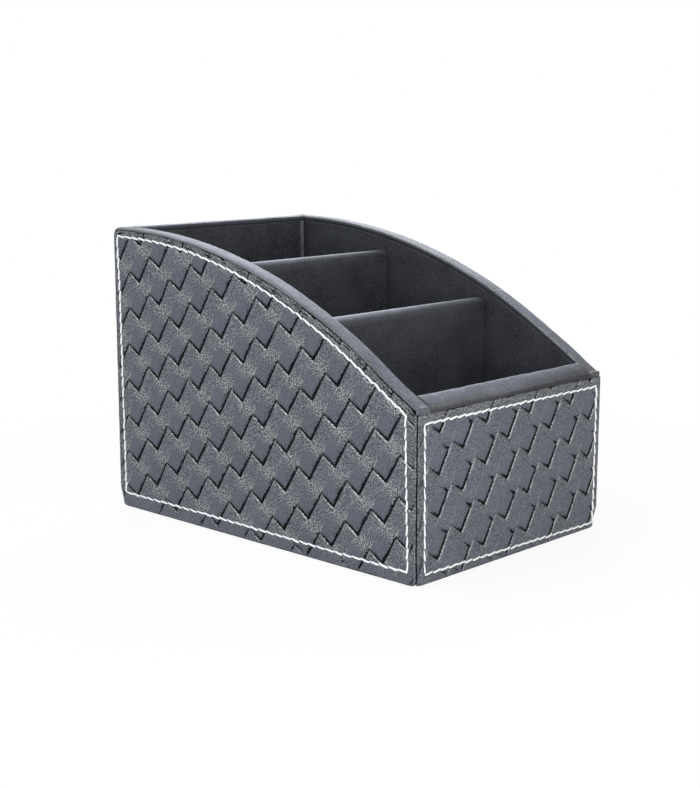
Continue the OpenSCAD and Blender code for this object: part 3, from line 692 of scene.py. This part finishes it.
# ---- linings
def lining_panel(name, node, place, low, high, foot, top, seed, swell=0.16, ridge=0.0):
    """Lining glued on a wall, as a closed sheet: its face is the wall's plane with soft unevenness, its edges are
    turned over with a small radius, and its back is flat."""
    turned = [(0.0, -0.95), (0.0, -0.25), (0.04, -0.08), (0.15, -0.02)]
    count = int((high - low) / (0.6 if ridge else 2.5))
    a_in = np.array([t[0] for t in turned])
    a_n = np.array([t[1] for t in turned])
    a = np.concatenate([low + a_in, np.linspace(low + 0.7, high - 0.7, count), high - a_in[::-1]])
    an = np.concatenate([a_n, np.zeros(count), a_n[::-1]])
    rise = np.linspace(0, 1, 40)
    tops = top(a)
    b = np.concatenate([
        foot + a_in[:, None] + np.zeros((4, len(a))),
        (foot + 0.7) + rise[:, None] * (tops[None, :] - foot - 1.4),
        tops[None, :] - a_in[::-1, None],
    ])
    bn = np.concatenate([a_n, np.zeros(40), a_n[::-1]])
    n = np.maximum(an[None, :] + bn[:, None], -0.95)
    flat = (n > -0.02)
    aa = np.broadcast_to(a, b.shape)
    n = n + flat * swell * (ripple(aa, b, 55, seed) * 0.7 + ripple(aa, b, 19, seed + 1) * 0.3)
    # Where the lining is gathered in a corner, it stands up in a wrinkled ridge
    crest = ridge * np.exp(-((aa - high + 2.6 + 0.5 * ripple(b, 0, 17, 2.0)) / 0.9) ** 2)
    crest = crest * (0.75 + 0.45 * ripple(b, 0, 8, 4.0))
    n = n + flat * crest
    return piece(name, place(aa, b, n), sheet(*b.shape), LINING, [node], {"pale": 0.45 * crest})


def divider(name, nodes, y0, top, seed):
    """Divider: lining wrapped over a board. Its outline along the width has round upper corners, and its section has
    a half round top. The two faces swell and sink softly."""
    half = ROOM_HALF_W - GLUE
    r = DIVIDER_T / 2
    round_r = 2.6
    # the section, from the back foot over the top to the front foot: depth from the middle, and drop from the top
    zs = np.linspace(0, 1, 36)
    height = top - FLOOR_Z
    back_side = [(r, height - (height - r) * f) for f in zs]
    over = [(r * math.cos(a), r - r * math.sin(a)) for a in np.linspace(0, math.pi, 13)[1:-1]]
    front_side = [(-r, r + (height - r) * f) for f in zs]
    section = np.array(back_side + over + front_side)
    xs = np.concatenate([
        [-half, -half + 0.12, -half + 0.4], np.linspace(-half + 1.0, half - 1.0, 46), [half - 0.4, half - 0.12, half]])
    pinch = np.sqrt(np.clip(1 - np.clip(1 - (half - np.abs(xs)) / 0.9, 0, 1) ** 2, 0, 1)) * 0.3 + 0.7
    drop_in = np.clip(round_r - (half - np.abs(xs)), 0, round_r)
    fall = round_r - np.sqrt(round_r ** 2 - drop_in ** 2)
    y = section[None, :, 0] * pinch[:, None]
    share = np.clip(1 - section[None, :, 1] / 20.0, 0, 1) ** 2
    z = top - section[None, :, 1] - fall[:, None] * share
    x = np.broadcast_to(xs[:, None], z.shape)
    face = np.sign(y) * 0.14 * ripple(x, z + 40 * np.sign(y), 48, seed) * smooth(section[None, :, 1], 1.0, 6.0)
    points = np.stack([x, y0 + r + y + face, z], -1)
    # The top edge is painted paler on the left, fading to the right: a painted highlight. The top edge looks
    # paler on the left in the photo. It is painted so here, though it may only be the light
    pale = bell(section[None, :, 1], 1.5) * (0.95 - 0.85 * smooth(x, -0.9 * half, 0.9 * half))
    pale = pale * (0.85 + 0.3 * ripple(x, 0 * z, 13, seed))
    return piece(name, points, tube(*z.shape), LINING, nodes, {"pale": pale})


# ---- finishes
def colour(code):
    """A hex colour, given as it looks, turned to linear light."""
    parts = [int(code[i:i + 2], 16) / 255 for i in (1, 3, 5)]
    return tuple(c / 12.92 if c <= 0.04045 else ((c + 0.055) / 1.055) ** 2.4 for c in parts) + (1.0,)


def add(tree, kind, links=None, **settings):
    """One node of a kind, with its settings by attribute or by input name, and links from other nodes' outputs."""
    node = tree.nodes.new(kind)
    for key, value in settings.items():
        if hasattr(node, key):
            setattr(node, key, value)
        else:
            node.inputs[key.replace("_", " ")].default_value = value
    for socket, source in (links or {}).items():
        tree.links.new(source, node.inputs[socket])
    return node


def empty_tree(owner):
    """The node tree of a material or world, emptied. The functions below find it again by the socket given first."""
    owner.use_nodes = True
    owner.node_tree.nodes.clear()
    return owner.node_tree


def new_finish(name):
    """A new material: its node tree, a Principled shader joined to its output, and the place on the piece."""
    finish = bpy.data.materials.new(name)
    tree = empty_tree(finish)
    shader = add(tree, "ShaderNodeBsdfPrincipled")
    add(tree, "ShaderNodeOutputMaterial", {"Surface": shader.outputs["BSDF"]})
    return finish, tree, shader, add(tree, "ShaderNodeTexCoord").outputs["Object"]


def noise(where, size_mm, detail=2.0, rough=0.5):
    """Noise whose lumps are about size_mm across."""
    scale = 1 / (size_mm * MM)
    node = add(where.id_data, "ShaderNodeTexNoise", {"Vector": where}, Scale=scale, Detail=detail, Roughness=rough)
    return node.outputs["Fac"]


def ramp(source, lo, hi, out_lo=0.0, out_hi=1.0):
    """A straight line from out_lo at lo to out_hi at hi, level beyond both."""
    ends = {"From_Min": lo, "From_Max": hi, "To_Min": out_lo, "To_Max": out_hi}
    return add(source.id_data, "ShaderNodeMapRange", {"Value": source}, **ends).outputs["Result"]


def mix(share, first, second):
    """A blend of two colours, each fixed or coming from another node."""
    node = add(share.id_data, "ShaderNodeMix", {"Factor": share}, data_type="RGBA")
    for socket, value in ((node.inputs[6], first), (node.inputs[7], second)):
        if isinstance(value, tuple):
            socket.default_value = value
        else:
            share.id_data.links.new(value, socket)
    return node.outputs[2]


def times(first, second):
    node = add(first.id_data, "ShaderNodeMath", {0: first}, operation="MULTIPLY")
    if isinstance(second, float):
        node.inputs[1].default_value = second
    else:
        first.id_data.links.new(second, node.inputs[1])
    return node.outputs[0]


def plus(first, second):
    return add(first.id_data, "ShaderNodeMath", {0: first, 1: second}, operation="ADD").outputs[0]


def mark(tree, key):
    return add(tree, "ShaderNodeAttribute", attribute_name=key).outputs["Fac"]


def coat(base, share, amount, code):
    """The base colour with another laid over it, by a share times an amount."""
    return mix(times(share, amount), base, colour(code))


def relief(shader, height, strength, depth):
    """Gives a shader a fine bump of the given depth in metres."""
    tree = shader.id_data
    bump = add(tree, "ShaderNodeBump", {"Height": height}, Strength=strength, Distance=depth)
    tree.links.new(bump.outputs["Normal"], shader.inputs["Normal"])


def embossed_leatherette():
    """PVC leatherette, embossed hot with a plaited pattern: semi-matt charcoal. Where strands come up they are worn
    and show a pale speckle of the backing. Where they dip they stay smooth and bluish. Creases get painted shade,
    and the raised lips beside them a painted highlight."""
    finish, tree, shader, where = new_finish("embossed_leatherette")
    # The real speckle is too fine to show at this size, so grain and speck are drawn coarser than it, at 0.6 mm
    grain, speck = noise(where, 0.66, 2.0, 0.7), noise(where, 0.6, 1.0)
    worn, tooth, pressed = mark(tree, "worn"), mark(tree, "tooth"), mark(tree, "pressed")
    rough_share = ramp(tooth, 0.15, 0.8, 1.0, 0.5)
    base = mix(ramp(noise(where, 20.0), 0.35, 0.65), colour("#474b57"), colour("#515562"))
    base = coat(base, ramp(tooth, 0.2, 0.9), 0.6, "#595d69")
    base = coat(base, ramp(grain, 0.49, 0.57), times(rough_share, 0.9), "#1e2025")
    mottle = times(ramp(noise(where, 1.3, 2.0, 0.6), 0.42, 0.55), mark(tree, "head"))
    base = coat(base, mottle, 0.75, "#1f2124")
    light = times(ramp(speck, 0.49, 0.58), ramp(worn, 0.0, 0.9, 0.42, 1.0))
    base = coat(base, times(light, ramp(tooth, 0.15, 0.8, 1.0, 0.2)), 0.88, "#a6aaa6")
    base = coat(base, pressed, 0.35, "#34363c")
    fray = ramp(plus(mark(tree, "frayed"), times(pressed, 0.4)), 0.0, 1.0)
    base = coat(base, times(ramp(speck, 0.5, 0.6), fray), 0.6, "#95968f")
    edge_mm = mark(tree, "edge_mm")
    line = times(ramp(edge_mm, 0.15, 0.35), ramp(edge_mm, 0.48, 0.72, 1.0, 0.0))
    # Painted highlight on the raised lips and on the strand's edge above each peak
    lit_edges = plus(times(line, mark(tree, "lip_highlight")), mark(tree, "lit"))
    base = coat(base, lit_edges, ramp(speck, 0.35, 0.55, 0.3, 1.0), "#c3c6bf")
    base = coat(base, mark(tree, "shade"), 0.35, "#25272c")
    # The painted shade in a crease ends raggedly in the grain
    crease = ramp(plus(mark(tree, "crease"), ramp(grain, 0.3, 0.7, -0.28, 0.28)), 0.4, 0.62)
    base = coat(base, crease, 0.95, "#08090b")
    tree.links.new(base, shader.inputs["Base Color"])
    tree.links.new(ramp(grain, 0.3, 0.7, 0.48, 0.66), shader.inputs["Roughness"])
    tree.links.new(ramp(crease, 0.0, 0.8, 0.4, 0.03), shader.inputs["Specular IOR Level"])
    relief(shader, plus(times(grain, 0.6), times(speck, 0.4)), 0.9, 0.00035)
    return finish


def smooth_leatherette(name, dark, light, low, high, bump_share, grain_mm, gloss, scuffed_and_shaded=False):
    """Smooth PVC leatherette with a fine calf grain: an even dark colour, faint clouding, and a soft satin gloss.
    Scuffed, it has brownish worn specks, and painted shade where the piece marks it, as along its lower edge."""
    finish, tree, shader, where = new_finish(name)
    grain = noise(where, grain_mm, 3.0, 0.6)
    base = mix(ramp(noise(where, 14.0, 3.0, 0.55), 0.35, 0.68), colour(dark), colour(light))
    base = coat(base, ramp(grain, 0.4, 0.75), 0.35, light)
    if scuffed_and_shaded:
        base = coat(base, ramp(noise(where, 0.7, 2.0, 0.6), 0.5, 0.6), 0.7, "#24262b")
        scuff = times(ramp(noise(where, 4.0, 4.0, 0.65), 0.56, 0.68), ramp(grain, 0.45, 0.6))
        base = coat(base, scuff, 0.6, "#7d7a72")
        brown = times(mark(tree, "brown"), ramp(noise(where, 1.6, 4.0, 0.7), 0.4, 0.56))
        base = coat(base, brown, 0.75, "#4e4c4a")
        base = coat(base, times(brown, 0.8), ramp(grain, 0.5, 0.62), "#827f76")
        base = coat(base, mark(tree, "inner"), 0.8, "#35373d")
        base = coat(base, mark(tree, "pale"), ramp(grain, 0.45, 0.6), "#a09b8e")
        # Painted shade
        base = coat(base, mark(tree, "fold"), 0.85, "#17181b")
    else:
        base = coat(base, ramp(noise(where, 0.62, 2.0, 0.6), 0.5, 0.64), 0.5, "#55575c")
        base = coat(base, mark(tree, "pale"), ramp(grain, 0.35, 0.6, 0.5, 1.0), "#a3a9b3")
    tree.links.new(base, shader.inputs["Base Color"])
    tree.links.new(ramp(grain, 0.3, 0.7, low, high), shader.inputs["Roughness"])
    shader.inputs["Specular IOR Level"].default_value = gloss
    relief(shader, grain, bump_share, 0.00012)
    return finish


def plain_finish(name, size_mm, detail, rough, dark, light, roughness, strength=0.0, depth=0.0):
    """A matt material: one noise between two colours, and a bump of the same noise if it has a strength."""
    finish, tree, shader, where = new_finish(name)
    lump = noise(where, size_mm, detail, rough)
    base = mix(ramp(lump, 0.3, 0.7), colour(dark), colour(light))
    tree.links.new(base, shader.inputs["Base Color"])
    shader.inputs["Roughness"].default_value = roughness
    if strength:
        relief(shader, lump, strength, depth)
    return finish


SKIN = embossed_leatherette()
RIM = smooth_leatherette("smooth_rim_leatherette", "#41454f", "#626876", 0.42, 0.58, 0.9, 0.55, 0.4, True)
LINING = smooth_leatherette("smooth_lining_leatherette", "#1f2024", "#303238", 0.42, 0.6, 0.5, 0.6, 0.35)
# Bonded polyester sewing thread, two strands twisted: bright white, with faint grey between the strands
THREAD = plain_finish("white_polyester_thread", 0.5, 2.0, 0.6, "#e2e4e2", "#ffffff", 0.6, 0.3, 0.0001)
# Grey-brown pressed fibre board, matt, with short fibres about 2 mm long
BOARD = plain_finish("pressed_fibre_board", 2.0, 3.0, 0.6, "#8d7657", "#a88f6a", 0.85)
# Black non-woven base cloth, matt, with a needled surface of about 1 mm
CLOTH = plain_finish("black_non_woven_cloth", 1.0, 3.0, 0.7, "#1d1e20", "#303134", 0.92, 0.5, 0.0002)

# ---- the pieces
FINE = ((0.48, 0.56))
FINE_END = ((0.42, 0.42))
LEFT_BORDER, RIGHT_BORDER = side_border(-1), side_border(1)
FRONT_BORDER = end_border(-55.2, 57.3, -0.0175, 4.6, 63.6)
BACK_BORDER = end_border(-55.5, 56.5, 0.0, 5.5, SKIN_TOP_BACK - 3.6)
SIDE_WEAVE, END_WEAVE = (SIDE_START, SIDE_STEPS, FINE, 0.0), (END_START, END_STEPS, FINE_END, 1.0)
PANELS = (
    ("left", left_face, HALF_D, lambda u: skin_top(-u, -1), SIDE_WEAVE, LEFT_BORDER, -STITCH_LEAN),
    ("right", right_face, HALF_D, lambda u: skin_top(u, 1), SIDE_WEAVE, RIGHT_BORDER, STITCH_LEAN),
    ("front", front_face, HALF_W, level(SKIN_TOP_FRONT), END_WEAVE, FRONT_BORDER, STITCH_LEAN),
    ("back", back_face, HALF_W, level(SKIN_TOP_BACK), END_WEAVE, BACK_BORDER, STITCH_LEAN),
)
for wall, place, half, top, (start, steps, spacing, notches), border, _ in PANELS:
    skin(wall + "_woven_skin", place, half, top, start, steps, border, spacing, wall + "_skin", notches)
for wall, place, *_, border, lean in PANELS:
    stitching(wall + "_stitches", place, border_rows(border, lean), wall + "_stitching")

side_rim("left_rolled_rim", -1, "left_rim")
side_rim("right_rolled_rim", 1, "right_rim")
RIM_SPAN = HALF_W - WALL_T + 0.2
end_rim("front_rolled_rim", "front_rim", front_rim_outline(), 1, RIM_SPAN)
end_rim("back_rolled_rim", "back_rim", back_rim_outline(), 2, RIM_SPAN)


SIDE_END, LINING_HALF = ROOM_HALF_D - GLUE, HALF_W - BOARD_IN - GLUE
FRONT_LINING_TOP = float(on_slope(-ROOM_HALF_D, FRONT_STEP * math.cos(FALL))) - RIM_H - GLUE - 0.6
for wall, place, end, top, seed, ridge in (
    ("left", facing(1, 0, -ROOM_HALF_W), SIDE_END, lambda a: side_top(a, RIM_H + GLUE), 1.0, 0.0),
    ("right", facing(-1, 0, -ROOM_HALF_W), SIDE_END, lambda a: side_top(-a, RIM_H + GLUE), 2.0, 0.0),
    ("front", facing(0, 1, -ROOM_HALF_D), LINING_HALF, level(FRONT_LINING_TOP), 3.0, 0.0),
    ("back", facing(0, -1, -ROOM_HALF_D), LINING_HALF, level(SKIN_TOP_BACK), 4.0, 0.9),
):
    lining_panel(wall + "_inner_lining", wall + "_lining", place, -end, end, FLOOR_Z, top, seed, ridge=ridge)


def floor_place(a, b, n):
    """Puts points on the upper side of the floor sheets, which are 1 mm thick."""
    return np.stack([a, b, FLOOR_Z + 1.0 + n], -1)


for label, y0, y1, seed in (
    ("rear", REAR_DIVIDER_Y + DIVIDER_T, HALF_D - WALL_T, 5.0),
    ("middle", FRONT_DIVIDER_Y + DIVIDER_T, REAR_DIVIDER_Y, 6.0),
    ("front", -HALF_D + WALL_T, FRONT_DIVIDER_Y, 7.0),
):
    lining_panel(label + "_floor_sheet", label + "_floor_lining", floor_place, -ROOM_HALF_W + GLUE, ROOM_HALF_W - GLUE,
                 y0 + GLUE, level(y1 - GLUE), seed, 0.12)

top_front = float(side_top(FRONT_DIVIDER_Y + DIVIDER_T / 2)) - FRONT_DIVIDER_DROP
top_rear = float(side_top(REAR_DIVIDER_Y + DIVIDER_T / 2)) - REAR_DIVIDER_DROP
divider("front_wrapped_divider", ["front_divider_cover"], FRONT_DIVIDER_Y, top_front, 1.0)
divider("rear_wrapped_divider", ["rear_divider_cover"], REAR_DIVIDER_Y, top_rear, 2.0)

# The boards are inside the walls and dividers, and the base cloth lies flat under the base board
for label in ("base", "left", "right", "front", "back", "front_divider", "rear_divider", "base_cloth"):
    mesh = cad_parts[label if label == "base_cloth" else label + "_board"].data
    mesh.materials.clear()
    mesh.materials.append(CLOTH if label == "base_cloth" else BOARD)


# ---- floor, light and camera
def white_rays(tree):
    """1 for the rays of the camera and those by way of a mirror or glass, which see plain white, and 0 for others."""
    rays = add(tree, "ShaderNodeLightPath").outputs
    seen = rays["Is Camera Ray"]
    for kind in ("Is Glossy Ray", "Is Transmission Ray"):
        seen = add(tree, "ShaderNodeMath", {0: seen, 1: rays[kind]}, operation="MAXIMUM").outputs[0]
    return seen


def studio_white(name):
    """Seamless white paper. What the camera, a mirror or glass sees is plain white, and near the part it keeps a
    faint shadow, which fades out with the distance from the part."""
    finish = bpy.data.materials.new(name)
    tree = empty_tree(finish)
    where = add(tree, "ShaderNodeTexCoord").outputs["Object"]
    away = add(tree, "ShaderNodeVectorMath", {0: where}, operation="LENGTH").outputs["Value"]
    share = times(white_rays(tree), ramp(away, 0.12, 0.3, 0.9, 1.0))
    paper = add(tree, "ShaderNodeBsdfDiffuse", Color=colour("#f2f2f2"))
    glow = add(tree, "ShaderNodeEmission", Color=colour("#ffffff"), Strength=1.0)
    blend = add(tree, "ShaderNodeMixShader", {0: share, 1: paper.outputs[0], 2: glow.outputs[0]})
    add(tree, "ShaderNodeOutputMaterial", {"Surface": blend.outputs[0]})
    return finish


floor_mesh = bpy.data.meshes.new("studio_floor")
FLOOR, UNDER = 3.0, -0.0002
edges = [(x * FLOOR, y * FLOOR, UNDER) for x, y in ((-1, -1), (1, -1), (1, 1), (-1, 1))]
floor_mesh.from_pydata(edges, [], [(0, 1, 2, 3)])
floor_mesh.materials.append(studio_white("white_paper_floor"))
floor = in_scene("studio_floor", floor_mesh)

world = bpy.data.worlds.new("studio_air")
bpy.context.scene.world = world
tree = empty_tree(world)
soft = add(tree, "ShaderNodeBackground", Color=colour("#ffffff"), Strength=0.25)
white = add(tree, "ShaderNodeBackground", Color=colour("#ffffff"), Strength=1.0)
blend = add(tree, "ShaderNodeMixShader", {0: white_rays(tree), 1: soft.outputs[0], 2: white.outputs[0]})
add(tree, "ShaderNodeOutputWorld", {"Surface": blend.outputs[0]})


def standing(right, up, back, place):
    """Matrix that turns a lamp or camera to look against back and puts it in its place."""
    axes = np.stack([right, up, back], 1)
    return Matrix([list(axes[i]) + [place[i]] for i in range(3)] + [[0, 0, 0, 1]])


def softbox(name, place, target, size, power, tint="#ffffff"):
    """A square soft light at a place, turned to a target."""
    lamp = bpy.data.lights.new(name, "AREA")
    lamp.shape = "SQUARE"
    lamp.size = size
    lamp.energy = power
    lamp.color = colour(tint)[:3]
    back = np.array(place, float) - np.array(target, float)
    back /= np.linalg.norm(back)
    right = np.cross([0, 0, 1], back) if abs(back[2]) < 0.99 else np.array([1.0, 0, 0])
    right /= np.linalg.norm(right)
    in_scene(name, lamp).matrix_world = standing(right, np.cross(back, right), back, place)


softbox("top_softbox", (-0.3, 0.2, 0.76), (0, 0, 0.06), 0.6, 4.0, "#eef4ff")
softbox("left_softbox", (-0.34, -0.48, 0.2), (0, -0.05, 0.04), 0.3, 1.5)
softbox("front_softbox", (-0.45, -0.64, 0.34), (0, -0.05, 0.04), 0.4, 2.0)
softbox("back_softbox", (0.9, 0.7, 0.85), (0, 0, 0.1), 0.8, 9.5, "#eef4ff")

AZIMUTH, ELEVATION, ROLL = (math.radians(a) for a in (-46.62, 10.70, 0.08))
EYE = np.array([-0.4767, -0.4490, 0.1795])
PHOTO_H, FOCAL_PX = 788, 1498.3
flat = math.cos(ELEVATION)
back = np.array([math.sin(AZIMUTH) * flat, -math.cos(AZIMUTH) * flat, math.sin(ELEVATION)])
right = np.array([math.cos(AZIMUTH), math.sin(AZIMUTH), 0.0])
up = np.cross(right, -back)
turned_right = right * math.cos(ROLL) + up * math.sin(ROLL)
turned_up = -right * math.sin(ROLL) + up * math.cos(ROLL)
lens = bpy.data.cameras.new("photo_camera")
lens.sensor_fit = "VERTICAL"
lens.sensor_height = 36.0
lens.lens = FOCAL_PX / PHOTO_H * 36.0
lens.clip_start, lens.clip_end = 0.01, 20.0
camera = in_scene("photo_camera", lens)
camera.matrix_world = standing(turned_right, turned_up, back, EYE)
bpy.context.scene.camera = camera
bpy.context.scene.view_settings.view_transform = "Standard"
